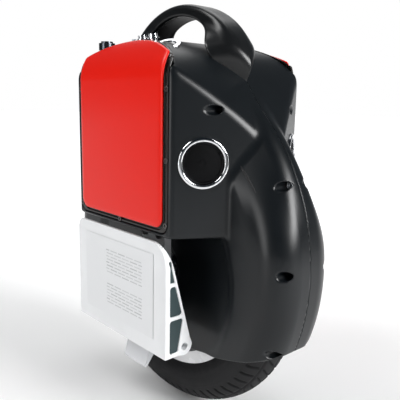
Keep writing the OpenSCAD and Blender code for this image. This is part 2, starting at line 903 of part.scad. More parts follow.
shell_right();
shell_left();
wheel_well();
shell_screws();
bezel_right();
bezel_left();
bezel_screws_right();
bezel_screws_left();
panel_seal_right();
panel_seal_left();
side_panel_right();
side_panel_left();
handle_arch();
handle_liner_front();
handle_liner_rear();
handle_bolts();
speaker_rings();
speaker_grilles();
speaker_drivers();
battery_right();
battery_left();
heat_sink();
control_board();
capacitors();
charge_socket();
charge_socket_insert();
data_socket();
socket_nuts();
status_led();
gauge_bezel();
gauge_lens();
button_housing();
power_button();
axle();
stator();
stator_windings();
axle_washers();
axle_nuts();
hanger_right();
hanger_left();
hanger_bolts();
tyre();
inner_tube();
rim();
magnet_ring();
motor_cover_right();
motor_cover_left();
cover_bolts();
wheel_bearings();
tyre_valve();
pedal_right();
pedal_left();
pedal_grip_right();
pedal_grip_left();
pedal_plugs_right();
pedal_plugs_left();
pedal_pins_right();
pedal_pins_left();
pedal_label_right();
pedal_label_left();
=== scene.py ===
"""Looks of the self-balancing electric unicycle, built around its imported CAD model.

The moulded and cast pieces are distance fields, written in millimetres in the CAD's frame, that are
meshed with soft edges. Each stands for the CAD node of the same piece. Mesh data is in metres.
"""

import json
import math

import bmesh
import bpy
import numpy as np
import openvdb
from mathutils import Matrix, Vector


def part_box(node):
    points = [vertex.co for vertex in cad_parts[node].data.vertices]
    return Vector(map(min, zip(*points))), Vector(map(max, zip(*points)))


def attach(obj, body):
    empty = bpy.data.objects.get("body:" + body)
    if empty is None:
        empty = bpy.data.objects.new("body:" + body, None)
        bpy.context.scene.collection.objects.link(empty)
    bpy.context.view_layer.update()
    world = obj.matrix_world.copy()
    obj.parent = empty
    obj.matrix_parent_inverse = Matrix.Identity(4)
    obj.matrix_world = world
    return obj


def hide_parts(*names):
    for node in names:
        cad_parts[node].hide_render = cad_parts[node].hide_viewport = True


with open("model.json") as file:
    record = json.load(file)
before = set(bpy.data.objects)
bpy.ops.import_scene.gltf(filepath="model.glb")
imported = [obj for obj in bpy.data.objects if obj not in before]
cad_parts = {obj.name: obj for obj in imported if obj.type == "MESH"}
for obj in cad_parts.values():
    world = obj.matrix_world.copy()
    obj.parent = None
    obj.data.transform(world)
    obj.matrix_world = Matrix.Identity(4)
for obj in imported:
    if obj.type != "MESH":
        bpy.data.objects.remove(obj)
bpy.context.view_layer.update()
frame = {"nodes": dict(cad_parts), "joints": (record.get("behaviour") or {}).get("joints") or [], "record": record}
NODES = frame["nodes"]
MM = 0.001
SIDES = (("right", -1), ("left", 1))


# ---------- dimensions, in millimetres ----------

def corner(node, high, axis):
    """One coordinate of a CAD node's box, in millimetres."""
    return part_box(node)[1 if high else 0][axis] / MM


def joint(name):
    return next(j for j in frame["joints"] if j["name"] == name)


AXLE_Z = joint("wheel_spin")["pos_m"][2] / MM
HINGE_Y = joint("pedal_left_fold")["pos_m"][1] / MM
HINGE_Z = joint("pedal_left_fold")["pos_m"][2] / MM
TYRE_R = corner("tyre", True, 0) + 0.3
TYRE_HALF = corner("tyre", True, 1)
RIM_R = corner("rim", True, 0)
BODY_X = corner("shell_left", True, 0)
BOX_Y = corner("shell_left", True, 1)
BODY_TOP = corner("shell_left", True, 2)
PANEL_X = corner("side_panel_left", True, 0)
PANEL_LOW = corner("side_panel_left", False, 2)
PANEL_TOP = corner("side_panel_left", True, 2)
PANEL_ARCH_R, PANEL_CORNER_R = 195.0, 12.0
WINDOW_X, WINDOW_LOW, WINDOW_CORNER_R = 86.0, 241.0, 11.0
WINDOW_OVER_PANEL = 5.0                  # how far the window's arch stands above the panel's
CLEAR_TOP = 480.0                        # over everything: a flat outline that an arch cuts off starts here
BEZEL_X = corner("bezel_left", True, 0)
BEZEL_LOW = corner("bezel_left", False, 2)
PEDAL_X = corner("pedal_left", True, 0)
PEDAL_Y = corner("pedal_left", True, 1)
PEDAL_TOP = corner("pedal_left", True, 2)
PEDAL_LOW = 104.0
PEDAL_FACE_T = 6.5
PEDAL_FRONT_R, PEDAL_REAR_R = 26.0, 13.0

CROWN_X, CROWN_Z = 34.6, 200.0           # centre of each end's outline arc
CROWN_R = BODY_X + CROWN_X
FENDER_Y, RECESS_Y = 45.0, 40.0
RECESS_RAMP = (118, 134)                 # radii between which the side wall steps out of the wheel's recess
SHOULDER_R = 32.0
CHAMFER_DEPTH, CREST_HALF = 46.0, 13.0   # the chamfer's reach below the crown, and the half width over it
CHAMFER_RISE = (225, 335)                # heights between which the shoulder turns into the chamfer
BOX_X, BOX_LOW = 89.7, 237.0
HOOD_AT = (91.5, 412.0)                  # a point of the hood's slope, in X and Z
HOOD_NORMAL = (0.813, 0.582)
TOP_R, CORNER_R = 149.0, 48.0
WALL = 3.0
HUB_HOLE_R = 36.0
LOWER_EDGE = (585.0, 500.0)              # centre height and radius of the shells' lower edge
POCKETS = ((168.3, 295.5), (187.6, 210.5), (175.8, 123.0))
HOOD_POCKET = (111.6, 369.2)
POCKET_R, HOOD_POCKET_R = 4.8, 4.5
POCKET_FLOOR, HOOD_POCKET_FLOOR = 4.0, 40.0
SPEAKER_AT = (107.7, 69.0, 316.0)
SPEAKER_HOLE_R, SPEAKER_HOLE_DEPTH = 24.0, 8.0
BOW_NORMAL = (0.857, 0.516)              # outward direction of a slanted face in X and Y


# ---------- distance fields ----------

def smax(a, b, k):
    """The larger of two fields, with the edge between them rounded over a width k."""
    h = np.clip(0.5 - 0.5 * (b - a) / k, 0, 1)
    return b + (a - b) * h + k * h * (1 - h)


def smin(a, b, k):
    return -smax(-a, -b, k)


def round_max(a, b, r):
    """The larger of two fields, with an arc of radius r where they meet at right angles."""
    qa, qb = a + r, b + r
    return np.minimum(np.maximum(qa, qb), 0) + np.hypot(np.maximum(qa, 0), np.maximum(qb, 0)) - r


def step(a, b, x):
    t = np.clip((x - a) / (b - a), 0, 1)
    return t * t * (3 - 2 * t)


def rounded_rect(x, z, half, z0, z1, r):
    """Flat field of a rectangle centred on x = 0, with corners of radius r."""
    qx = np.abs(x) - half + r
    qz = np.abs(z - (z0 + z1) / 2) - (z1 - z0) / 2 + r
    return np.minimum(np.maximum(qx, qz), 0) + np.hypot(np.maximum(qx, 0), np.maximum(qz, 0)) - r


def polygon_field(points, a, b):
    """Flat distance to a polygon, negative inside."""
    d = np.full(np.broadcast(a, b).shape, 1e9)
    sign = np.ones_like(d)
    for i, p in enumerate(points):
        q = points[i - 1]
        ex, ey = q[0] - p[0], q[1] - p[1]
        wx, wy = a - p[0], b - p[1]
        t = np.clip((wx * ex + wy * ey) / (ex * ex + ey * ey), 0, 1)
        d = np.minimum(d, (wx - ex * t) ** 2 + (wy - ey * t) ** 2)
        c1, c2, c3 = b >= p[1], b < q[1], ex * wy > ey * wx
        flip = (c1 & c2 & c3) | (~c1 & ~c2 & ~c3)
        sign = np.where(flip, -sign, sign)
    return sign * np.sqrt(d)


def mesh_from_field(name, field, low, high, voxel, mirror=False):
    """A closed mesh of field(x, y, z) < 0. The points are then moved on to the field's true surface."""
    axes = [np.arange(l - 2 * voxel, h + 2 * voxel, voxel) for l, h in zip(low, high)]
    x, y, z = np.meshgrid(*axes, indexing="ij", sparse=True)
    values = np.ascontiguousarray(np.broadcast_to(field(x, y, z), [len(a) for a in axes]), np.float32)
    grid = openvdb.FloatGrid(float(voxel * 3))
    grid.copyFromArray(np.clip(values, -3 * voxel, 3 * voxel))
    points, quads = grid.convertToQuads(0.0)
    points = points.astype(float) * voxel + [a[0] for a in axes]
    e = 0.02 * voxel
    for last in (False, False, False, True):
        grad = np.stack([
            (field(*(points + e * v).T) - field(*(points - e * v).T)) / (2 * e) for v in np.eye(3)
        ], 1)
        if last:
            break
        move = field(*points.T)[:, None] * grad / np.maximum((grad ** 2).sum(1), 0.2)[:, None]
        points -= np.clip(move, -0.4 * voxel, 0.4 * voxel)
    a, b, c = (points[quads[:, i]] for i in range(3))
    volume = (a * np.cross(b, c)).sum()
    if (volume < 0) != mirror:
        quads = quads[:, ::-1]
    normals = grad / np.linalg.norm(grad, axis=1, keepdims=True)
    if mirror:
        points[:, 1] *= -1
        normals[:, 1] *= -1
    made = mesh_object(name, points * MM, quads)
    made.data.normals_split_custom_set_from_vertices([tuple(n) for n in normals])
    return made


def mesh_object(name, points, faces, smooth=True):
    mesh = bpy.data.meshes.new(name)
    mesh.from_pydata([tuple(p) for p in points], [], [tuple(int(i) for i in f) for f in faces])
    mesh.validate()
    mesh.polygons.foreach_set("use_smooth", [smooth] * len(mesh.polygons))
    made = bpy.data.objects.new(name, mesh)
    bpy.context.scene.collection.objects.link(made)
    return made


# ---------- the body's outer form ----------

def fender(x, u, z):
    """The wheel's cover: a side wall, a shoulder that opens into a chamfer towards the hood, a crown."""
    crown = np.hypot(x + CROWN_X, z - CROWN_Z) - CROWN_R
    r = np.hypot(x, z - AXLE_Z)
    side = u - RECESS_Y - (FENDER_Y - RECESS_Y) * step(*RECESS_RAMP, r)
    low = round_max(crown, side, SHOULDER_R)
    rise = FENDER_Y - CREST_HALF
    chamfer = (crown * rise + (u - CREST_HALF) * CHAMFER_DEPTH) / math.hypot(rise, CHAMFER_DEPTH)
    high = smax(smax(crown, chamfer, 9), side, 3)
    t = step(*CHAMFER_RISE, z)
    return low * (1 - t) + high * t


def flank(u, z):
    """A box side and its curl into the top, seen from the front."""
    return round_max(u - BOX_Y, z - BODY_TOP, CORNER_R)


def hood_top(x, z):
    return np.hypot(x, z - BODY_TOP + TOP_R) - TOP_R


def box_and_hood(x, u, z):
    slope = HOOD_NORMAL[0] * (x - HOOD_AT[0]) + HOOD_NORMAL[1] * (z - HOOD_AT[1])
    hood = smax(smax(hood_top(x, z), slope, 16), flank(u, z), 6)
    bow = BOW_NORMAL[0] * (x - BOX_X) + BOW_NORMAL[1] * (u - BOX_Y)
    return smax(smax(hood, bow, 5), BOX_LOW - z, 5)


def body_form(x, u, z):
    return smin(fender(x, u, z), box_and_hood(x, u, z), 4)


def panel_arch(x, z):
    return np.hypot(x, z - PANEL_TOP + PANEL_ARCH_R) - PANEL_ARCH_R


def window(x, z):
    """Opening in a box side that takes the bezel."""
    frame_side = rounded_rect(x, z, WINDOW_X, WINDOW_LOW, CLEAR_TOP, WINDOW_CORNER_R)
    return np.maximum(frame_side, panel_arch(x, z) - WINDOW_OVER_PANEL)


def cylinder_y(x, z, place):
    return np.hypot(x - place[0], z - place[1])


def pocket(x, u, z, place, radius, floor):
    """A screw's blind pocket, open to the outside."""
    return np.maximum(cylinder_y(x, z, place) - radius, floor - u)


def shell_field(x, y, z):
    """One moulded shell half, on the +Y side. Only its front end has a speaker opening."""
    x0, x, u = x, np.abs(x), y
    outer = body_form(x, u, z)
    inner = outer + WALL
    for place in POCKETS:
        inner = np.maximum(inner, POCKET_R + 1.5 - cylinder_y(x, z, place))
    inner = np.maximum(inner, -pocket(x, u, z, HOOD_POCKET, HOOD_POCKET_R + 1.8, HOOD_POCKET_FLOOR - 2))
    d = smax(outer, -inner, 1.2)
    d = smax(d, np.hypot(x, z - LOWER_EDGE[0]) - LOWER_EDGE[1], 2)
    d = np.maximum(d, HUB_HOLE_R - np.hypot(x, z - AXLE_Z))
    opening = np.maximum(window(x, z), -flank(u, z) - WALL - 1.5)
    d = smax(d, -opening, 1.2)
    for place in POCKETS:
        d = smax(d, -pocket(x, u, z, place, POCKET_R, POCKET_FLOOR), 1.6)
    d = smax(d, -pocket(x, u, z, HOOD_POCKET, HOOD_POCKET_R, HOOD_POCKET_FLOOR), 1.6)
    out = BOW_NORMAL[0] * (x - SPEAKER_AT[0]) + BOW_NORMAL[1] * (u - SPEAKER_AT[1])
    along = BOW_NORMAL[1] * (x - SPEAKER_AT[0]) - BOW_NORMAL[0] * (u - SPEAKER_AT[1])
    hole = np.maximum(np.hypot(along, z - SPEAKER_AT[2]) - SPEAKER_HOLE_R, -x0)
    d = smax(d, -np.maximum(hole, np.abs(out) - SPEAKER_HOLE_DEPTH), 1)
    return smax(d, 0.04 - u, 0.6)


# ---------- materials ----------

def material(name, base, rough, metal=0.0, coat=0.0, coat_rough=0.05, spec=0.5):
    """A Principled material, and its nodes and links."""
    made = bpy.data.materials.new(name)
    made.use_nodes = True
    nodes, links = made.node_tree.nodes, made.node_tree.links
    shader = nodes["Principled BSDF"]
    shader.inputs["Base Color"].default_value = (*base, 1)
    shader.inputs["Roughness"].default_value = rough
    shader.inputs["Metallic"].default_value = metal
    shader.inputs["Coat Weight"].default_value = coat
    shader.inputs["Coat Roughness"].default_value = coat_rough
    shader.inputs["Specular IOR Level"].default_value = spec
    return made, nodes, links, shader


def noise(nodes, links, scale, detail=3.0, rough=0.5, stretch=None):
    """Noise in object space, scale in cycles a metre."""
    tex = nodes.new("ShaderNodeTexNoise")
    tex.inputs["Scale"].default_value = scale
    tex.inputs["Detail"].default_value = detail
    tex.inputs["Roughness"].default_value = rough
    coords = nodes.new("ShaderNodeTexCoord")
    source = coords.outputs["Object"]
    if stretch:
        mapping = nodes.new("ShaderNodeMapping")
        mapping.inputs["Scale"].default_value = stretch
        links.new(source, mapping.inputs["Vector"])
        source = mapping.outputs["Vector"]
    links.new(source, tex.inputs["Vector"])
    return tex.outputs["Fac"]


def ramp(nodes, links, source, stops):
    """Colour ramp over (position, colour) stops."""
    made = nodes.new("ShaderNodeValToRGB")
    elements = made.color_ramp.elements
    while len(elements) < len(stops):
        elements.new(0.5)
    for element, (place, colour) in zip(elements, stops):
        element.position = place
        element.color = (*colour, 1)
    links.new(source, made.inputs["Fac"])
    return made.outputs["Color"]


def spread(nodes, links, source, low, high, start=0.3, end=0.7):
    made = nodes.new("ShaderNodeMapRange")
    made.inputs["From Min"].default_value = start
    made.inputs["From Max"].default_value = end
    made.inputs["To Min"].default_value = low
    made.inputs["To Max"].default_value = high
    links.new(source, made.inputs["Value"])
    return made.outputs["Result"]


def bump(nodes, links, source, shader, depth, strength=1.0, edge=None):
    """Fine relief of a height in metres, over corners softened by a radius in metres."""
    made = nodes.new("ShaderNodeBump")
    made.inputs["Distance"].default_value = depth
    made.inputs["Strength"].default_value = strength
    links.new(source, made.inputs["Height"])
    if edge:
        soft = nodes.new("ShaderNodeBevel")
        soft.samples = 6
        soft.inputs["Radius"].default_value = edge
        links.new(soft.outputs["Normal"], made.inputs["Normal"])
    links.new(made.outputs["Normal"], shader.inputs["Normal"])


def combine(nodes, links, operation, *operands):
    """A maths node over sockets and plain numbers."""
    made = nodes.new("ShaderNodeMath")
    made.operation = operation
    for i, operand in enumerate(operands):
        if isinstance(operand, (int, float)):
            made.inputs[i].default_value = operand
        else:
            links.new(operand, made.inputs[i])
    return made.outputs["Value"]


def along_view(nodes, links, output):
    """How far a point lies along AWAY, from one output of the texture coordinates."""
    coords = nodes.new("ShaderNodeTexCoord")
    made = nodes.new("ShaderNodeVectorMath")
    made.operation = "DOT_PRODUCT"
    made.inputs[1].default_value = (*AWAY, 0)
    links.new(coords.outputs[output], made.inputs[0])
    return made.outputs["Value"]


def moulded(name, base, rough, grain=0.00003, grain_scale=2600, edge=None, spec=0.5, dust=0.004):
    """Moulded plastic: spark-eroded grain, slow changes of gloss, a trace of dust."""
    made, nodes, links, shader = material(name, base, rough, spec=spec)
    slow = noise(nodes, links, 14, 4, 0.6)
    light = tuple(min(1, c * 1.12 + dust) for c in base)
    dark = tuple(c * 0.9 for c in base)
    links.new(ramp(nodes, links, slow, [(0.35, dark), (0.7, light)]), shader.inputs["Base Color"])
    links.new(spread(nodes, links, slow, rough - 0.01, rough + 0.015), shader.inputs["Roughness"])
    bump(nodes, links, noise(nodes, links, grain_scale, 2), shader, grain, 0.6, edge)
    return made


def painted(name, base, rough, orange_peel=0.00002, edge=None, coat=0.3):
    """Sprayed paint: faint orange peel and slight unevenness of tone."""
    made, nodes, links, shader = material(name, base, rough, coat=coat, coat_rough=0.12)
    slow = noise(nodes, links, 20, 3, 0.5)
    dark = tuple(c * 0.955 for c in base)
    links.new(ramp(nodes, links, slow, [(0.35, dark), (0.65, base)]), shader.inputs["Base Color"])
    links.new(spread(nodes, links, noise(nodes, links, 90, 4), rough - 0.03, rough + 0.05),
              shader.inputs["Roughness"])
    bump(nodes, links, noise(nodes, links, 900, 2), shader, orange_peel, 0.5, edge)
    return made


def metal(name, base, rough, brush=None, edge=None):
    """Bare or plated metal, with fine scratches along one way where it is brushed."""
    made, nodes, links, shader = material(name, base, rough, metal=1.0)
    slow = noise(nodes, links, 60, 4, 0.6)
    dark = tuple(c * 0.86 for c in base)
    links.new(ramp(nodes, links, slow, [(0.3, dark), (0.7, base)]), shader.inputs["Base Color"])
    fine = noise(nodes, links, 700, 3, 0.6, brush or (1, 1, 1))
    links.new(spread(nodes, links, fine, max(0.02, rough - 0.03), rough + 0.06), shader.inputs["Roughness"])
    bump(nodes, links, fine, shader, 0.00001, 0.4, edge)
    return made


def build_materials():
    """A material for each slot."""
    return {
        "shell": moulded("satin_black", (0.0040, 0.0054, 0.0068), 0.31, 0.000008, spec=0.36, dust=0.0003),
        "handle": moulded(
            "satin_black_handle", (0.0050, 0.0056, 0.0062), 0.30, 0.000008, spec=0.4, dust=0.0005),
        "liner": moulded("matt_black", (0.008, 0.008, 0.009), 0.55, edge=0.0006),
        "bezel": moulded("gloss_black", (0.012, 0.0100, 0.009), 0.20, 0.00001, spec=0.4, dust=0.001),
        "seal": moulded("seal_rubber", (0.006, 0.006, 0.006), 0.6, edge=0.0003),
        "plug": moulded("plug_rubber", (0.020, 0.040, 0.044), 0.52, 0.00004, 1500, edge=0.0006),
        "grip": moulded("grit_sheet", (0.02, 0.02, 0.021), 0.85, 0.0004, 1400, dust=0.02),
        "insulator": moulded("socket_insulator", (0.02, 0.02, 0.02), 0.45, edge=0.0003),
        "driver": moulded("speaker_cone", (0.03, 0.03, 0.03), 0.6, edge=0.0005),
        "capacitor": moulded("capacitor_sleeve", (0.03, 0.03, 0.04), 0.3, edge=0.0005),
        "tube": moulded("tube_rubber", (0.02, 0.02, 0.02), 0.6, edge=0.0005),
        "chrome": metal("bright_chrome", (0.86, 0.87, 0.89), 0.05, edge=0.0003),
        "steel": metal("machined_steel", (0.55, 0.57, 0.60), 0.22, (1, 6, 1), edge=0.0005),
        "dark_screw": metal("blackened_screw", (0.13, 0.12, 0.12), 0.28, edge=0.0003),
        "button_metal": metal("dark_anodised", (0.10, 0.11, 0.125), 0.24, (1, 1, 8), edge=0.0004),
        "grille": metal("grille_sheet", (0.016, 0.016, 0.017), 0.42, edge=0.0002),
        "heat_sink": metal("heat_sink_aluminium", (0.6, 0.6, 0.62), 0.35, (6, 1, 1), edge=0.0005),
        "motor_cover": metal("motor_cover_aluminium", (0.10, 0.10, 0.105), 0.38, edge=0.0006),
        "laminations": metal("stator_laminations", (0.3, 0.3, 0.32), 0.4, (1, 9, 1), edge=0.0003),
        "magnet": metal("magnet_plating", (0.5, 0.5, 0.52), 0.3, edge=0.0003),
        "copper": metal("enamelled_copper", (0.62, 0.26, 0.09), 0.3, (9, 1, 9), edge=0.0003),
        "pedal": painted("pedal_paint", (0.80, 0.81, 0.82), 0.34),
        "hanger": painted("hanger_paint", (0.70, 0.71, 0.73), 0.36, edge=0.0008),
        "rim": painted("rim_paint", (0.86, 0.86, 0.87), 0.25, edge=0.0006),
        "battery": painted("battery_wrap", (0.05, 0.14, 0.32), 0.3, edge=0.001),
        "board": painted("board_mask", (0.01, 0.10, 0.04), 0.3, edge=0.0003),
        "led": painted("led_clear", (0.75, 0.80, 0.85), 0.1),
        "gauge_lens": painted("gauge_smoked", (0.02, 0.024, 0.03), 0.08, coat=0.8),
        "panel": panel_material(),
        "tyre": tyre_material(),
        "label": label_material(),
    }


def panel_material():
    """Deep red gloss plastic, with a barely uneven tone and shine."""
    made, nodes, links, shader = material(
        "gloss_red", (0.72, 0.010, 0.002), 0.35, coat=0.12, coat_rough=0.15, spec=0.25)
    slow = noise(nodes, links, 9, 2)
    links.new(ramp(nodes, links, slow, [(0.3, (0.755, 0.008, 0.001)), (0.7, (0.765, 0.008, 0.001))]),
              shader.inputs["Base Color"])
    links.new(spread(nodes, links, slow, 0.33, 0.37), shader.inputs["Roughness"])
    return made


def tyre_material():
    """Worn tread rubber: greyer where it has scuffed, in random patches."""
    made, nodes, links, shader = material("tread_rubber", (0.010, 0.010, 0.011), 0.7, spec=0.3)
    mixed = noise(nodes, links, 70, 6, 0.7)
    links.new(ramp(nodes, links, mixed, [(0.3, (0.006, 0.006, 0.007)), (0.75, (0.016, 0.016, 0.017))]),
              shader.inputs["Base Color"])
    links.new(spread(nodes, links, mixed, 0.6, 0.82), shader.inputs["Roughness"])
    bump(nodes, links, noise(nodes, links, 1500, 4, 0.7), shader, 0.00008, 0.7)
    return made


FILM, BAR_DARK, BAR_PALE = (0.74, 0.75, 0.76), (0.42, 0.43, 0.44), (0.58, 0.59, 0.60)
BAR_LENGTH, BAR_PITCH, BAR_GAP = 0.016, 0.0038, 0.0013
BLOCKS_X = (0.012, 0.036)                # middle and half size of both blocks of bars, in metres
BLOCKS_Z = ((0.1905, 0.0152), (0.1506, 0.0133))


def label_material():
    """A plain film with two blocks of pale bars where a printed notice would be."""
    made, nodes, links, shader = material("label_film", FILM, 0.32)
    coords = nodes.new("ShaderNodeTexCoord")
    split = nodes.new("ShaderNodeSeparateXYZ")
    links.new(coords.outputs["Object"], split.inputs["Vector"])
    flat = nodes.new("ShaderNodeCombineXYZ")
    links.new(split.outputs["X"], flat.inputs["X"])
    links.new(split.outputs["Z"], flat.inputs["Y"])
    bricks = nodes.new("ShaderNodeTexBrick")
    bricks.inputs["Scale"].default_value = 1.0
    bricks.inputs["Brick Width"].default_value = BAR_LENGTH
    bricks.inputs["Row Height"].default_value = BAR_PITCH
    bricks.inputs["Mortar Size"].default_value = BAR_GAP
    bricks.inputs["Mortar Smooth"].default_value = 0.1
    bricks.inputs["Color1"].default_value = (*BAR_DARK, 1)
    bricks.inputs["Color2"].default_value = (*BAR_PALE, 1)
    bricks.inputs["Mortar"].default_value = (*FILM, 1)
    links.new(flat.outputs["Vector"], bricks.inputs["Vector"])
    upper, lower = (combine(nodes, links, "COMPARE", split.outputs["Z"], *block) for block in BLOCKS_Z)
    rows = combine(nodes, links, "ADD", upper, lower)
    columns = combine(nodes, links, "COMPARE", split.outputs["X"], *BLOCKS_X)
    mix = nodes.new("ShaderNodeMix")
    mix.data_type = "RGBA"
    mix.inputs["A"].default_value = (*FILM, 1)
    links.new(combine(nodes, links, "MULTIPLY", rows, columns), mix.inputs["Factor"])
    links.new(bricks.outputs["Color"], mix.inputs["B"])
    links.new(mix.outputs["Result"], shader.inputs["Base Color"])
    links.new(spread(nodes, links, noise(nodes, links, 120, 3), 0.28, 0.38), shader.inputs["Roughness"])
    return made


MATERIALS = build_materials()
SLOT_OF = {s["node"]: s["material_slot"] for s in frame["record"]["subparts"]}


def finish_cad_nodes():
    """Each shown CAD node gets its slot's material."""
    for name, node in NODES.items():
        node.data.materials.clear()
        node.data.materials.append(MATERIALS[SLOT_OF[name]])


def place(piece, body, slot, *nodes):
    """Puts a finished piece on its body, in its material, in place of CAD nodes."""
    piece.data.materials.clear()
    piece.data.materials.append(MATERIALS[slot])
    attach(piece, body)
    if nodes:
        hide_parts(*nodes)


# ---------- shells ----------

def build_shells():
    voxel = 1.4
    for name, s in SIDES:
        low = (-BODY_X, 0, 80)
        high = (BODY_X, BOX_Y, BODY_TOP)
        shell = mesh_from_field(f"{name}_body_shell", shell_field, low, high, voxel, mirror=s < 0)
        place(shell, "body", "shell", f"shell_{name}")


# ---------- side panels and bezels ----------

PANEL_PROUD, PANEL_ROLL, PANEL_ROLL_DROP = 2.9, 6.5, 1.9
BEZEL_SUNK, BEZEL_BACK = 0.5, 3.4        # depths of the bezel's face and back below the box side
CHANNEL_MID, CHANNEL_HALF, CHANNEL_FLOOR = 1.4, 1.0, 2.2


def panel_sides(x, z):
    return rounded_rect(x, z, PANEL_X, PANEL_LOW, CLEAR_TOP, PANEL_CORNER_R)


def panel_outline(x, z):
    return smax(panel_sides(x, z), panel_arch(x, z), 3)


def panel_field(x, y, z):
    """Pillowed face, with its rim rolled down over the last few millimetres."""
    skin = flank(y, z)
    roll = 1 - np.clip(-panel_sides(x, z) / PANEL_ROLL, 0, 1)
    face = skin - PANEL_PROUD + PANEL_ROLL_DROP * (1 - np.sqrt(np.maximum(0, 1 - roll ** 2)))
    return smax(smax(face, -skin + 0.1, 0.6), panel_outline(x, z), 0.9)


def bezel_field(x, y, z):
    """Plate in the box's window, cut off flush with the hood, with a shallow channel round the panel."""
    skin = flank(y, z)
    plate = smax(skin + BEZEL_SUNK, -skin - BEZEL_BACK, 0.5)
    channel = np.abs(panel_outline(x, z) - CHANNEL_MID) - CHANNEL_HALF
    plate = smax(plate, -np.maximum(channel, -skin - CHANNEL_FLOOR), 0.8)
    return smax(smax(plate, window(x, z) + 0.7, 1.4), hood_top(x, z) - 0.4, 1)


def build_flanks():
    voxel = 1.0
    for name, s in SIDES:
        low = (-PANEL_X, 70, PANEL_LOW)
        panel = mesh_from_field(
            f"{name}_red_panel", panel_field, low, (PANEL_X, BOX_Y + 4, PANEL_TOP), voxel, mirror=s < 0)
        place(panel, "body", "panel", f"side_panel_{name}")
        low = (-BEZEL_X, 70, BEZEL_LOW)
        bezel = mesh_from_field(
            f"{name}_gloss_bezel", bezel_field, low, (BEZEL_X, BOX_Y, PANEL_TOP + 6), voxel, mirror=s < 0)
        place(bezel, "body", "bezel", f"bezel_{name}", f"panel_seal_{name}")


# ---------- handle ----------

HANDLE_Z, HANDLE_R = 373.0, 114.0
HANDLE_HALF = 17.2
FLARE_HEIGHTS = (466, 436)               # the legs widen below the first, fully below the second
FOOT_PLANE = (0.837, 0.547, 82.2)        # the legs' outer cut: its lean in X and Y, and its place
FOOT_SPLAY = 0.42                        # how much the cut opens with height over the hood
GRIP_Z, GRIP_R = 392.8, 80.0
LINER_Y, LINER_T, LINER_LOW = 12.0, 3.0, 449.0


def handle_field(x, y, z):
    """Arch whose legs widen on their inner side, each ending in a pointed foot on the hood."""
    x, u = np.abs(x), np.abs(y)
    outer = np.hypot(x, z - HANDLE_Z) - HANDLE_R
    inner = GRIP_R - np.hypot(x, z - GRIP_Z)
    hood = box_and_hood(x, u, z)
    flare = step(*FLARE_HEIGHTS, z)
    side = (u - HANDLE_HALF + flare * (2 + np.minimum(outer, 0))) / np.sqrt(1 + flare ** 2)
    wedge = FOOT_PLANE[0] * x + FOOT_PLANE[1] * u - FOOT_SPLAY * np.maximum(hood, 0) - FOOT_PLANE[2]
    d = smax(smax(outer, side, 8), wedge, 7)
    d = smax(d, inner, 4)
    slot = np.maximum(inner - 2, -inner - LINER_T)
    slot = np.maximum(np.maximum(slot, u - LINER_Y - 0.3), LINER_LOW - z)
    d = smax(d, -slot, 1.0)
    return np.maximum(d, -hood - 4)


def build_handle():
    voxel = 1.0
    arch = mesh_from_field("carrying_handle", handle_field, (-115, -42, 396), (115, 42, 488), voxel)
    place(arch, "body", "handle", "handle_arch")


# ---------- pedals ----------

LEAN = math.radians(16)
SKIN = 3.5
KNUCKLE_R = 10.5
PIN_HOLE_R = 4.1
GAP_X, GAP_TOP = 23.5, 126.0             # notch that clears the hanger's lug
CHAMBER_R, TIP_CHAMBER_R = 3.0, 1.2


def tread_y(z):
    return HINGE_Y - KNUCKLE_R / math.cos(LEAN) + (z - HINGE_Z) * math.tan(LEAN)


def chamber(z0, z1, y_in=0.0):
    outer = PEDAL_Y - PEDAL_FACE_T
    return [(max(y_in, tread_y(z0) + SKIN), z0), (outer, z0), (outer, z1),
            (min(outer - 0.6, tread_y(z1) + SKIN), z1)]


def inset(points, r):
    """A convex polygon with each side moved inwards by r."""
    moved = []
    n = len(points)
    for i in range(n):
        (ax, ay), (bx, by), (cx, cy) = points[i - 1], points[i], points[(i + 1) % n]
        d0, d1 = np.array([bx - ax, by - ay]), np.array([cx - bx, cy - by])
        n0 = np.array([-d0[1], d0[0]]) / np.hypot(*d0)
        n1 = np.array([-d1[1], d1[0]]) / np.hypot(*d1)
        half = (n0 + n1) / (1 + n0 @ n1)
        moved.append((bx + half[0] * r, by + half[1] * r))
    return moved


CHAMBERS = [
    (inset(points, r), r) for points, r in
    ((chamber(109, 147, 83.5), CHAMBER_R), (chamber(151, 185), CHAMBER_R), (chamber(189, 213), TIP_CHAMBER_R))
]


def pedal_outline(x, z):
    """Side view of a pedal: a large round at its upper front corner, a smaller one at the rear."""
    front = rounded_rect(x, z, PEDAL_X, PEDAL_LOW - 60, PEDAL_TOP, PEDAL_FRONT_R)
    rear = rounded_rect(x, z, PEDAL_X, PEDAL_LOW - 60, PEDAL_TOP, PEDAL_REAR_R)
    return np.where(x > 0, front, rear)


def pedal_field(x, y, z):
    x0, x = x, np.abs(x)
    section = [(HINGE_Y + 2, PEDAL_LOW), (PEDAL_Y, PEDAL_LOW), (PEDAL_Y, PEDAL_TOP),
               (tread_y(PEDAL_TOP), PEDAL_TOP), (tread_y(HINGE_Z), HINGE_Z)]
    boss = np.hypot(y - HINGE_Y, z - HINGE_Z)
    d = smin(polygon_field(section, y, z) + 0.6, boss - KNUCKLE_R + 0.3, 2)
    for points, r in CHAMBERS:
        d = smax(d, r - polygon_field(points, y, z), 0.9)
    d = smax(d, pedal_outline(x0, z), 1.6) - 0.3
    d = smax(d, PIN_HOLE_R - boss, 0.9)
    gap = np.maximum(x - GAP_X, boss - KNUCKLE_R - 2)
    lower = np.maximum(np.maximum(x - GAP_X, y - PEDAL_Y + PEDAL_FACE_T), z - GAP_TOP)
    return smax(smax(d, -gap, 1), -lower, 1)


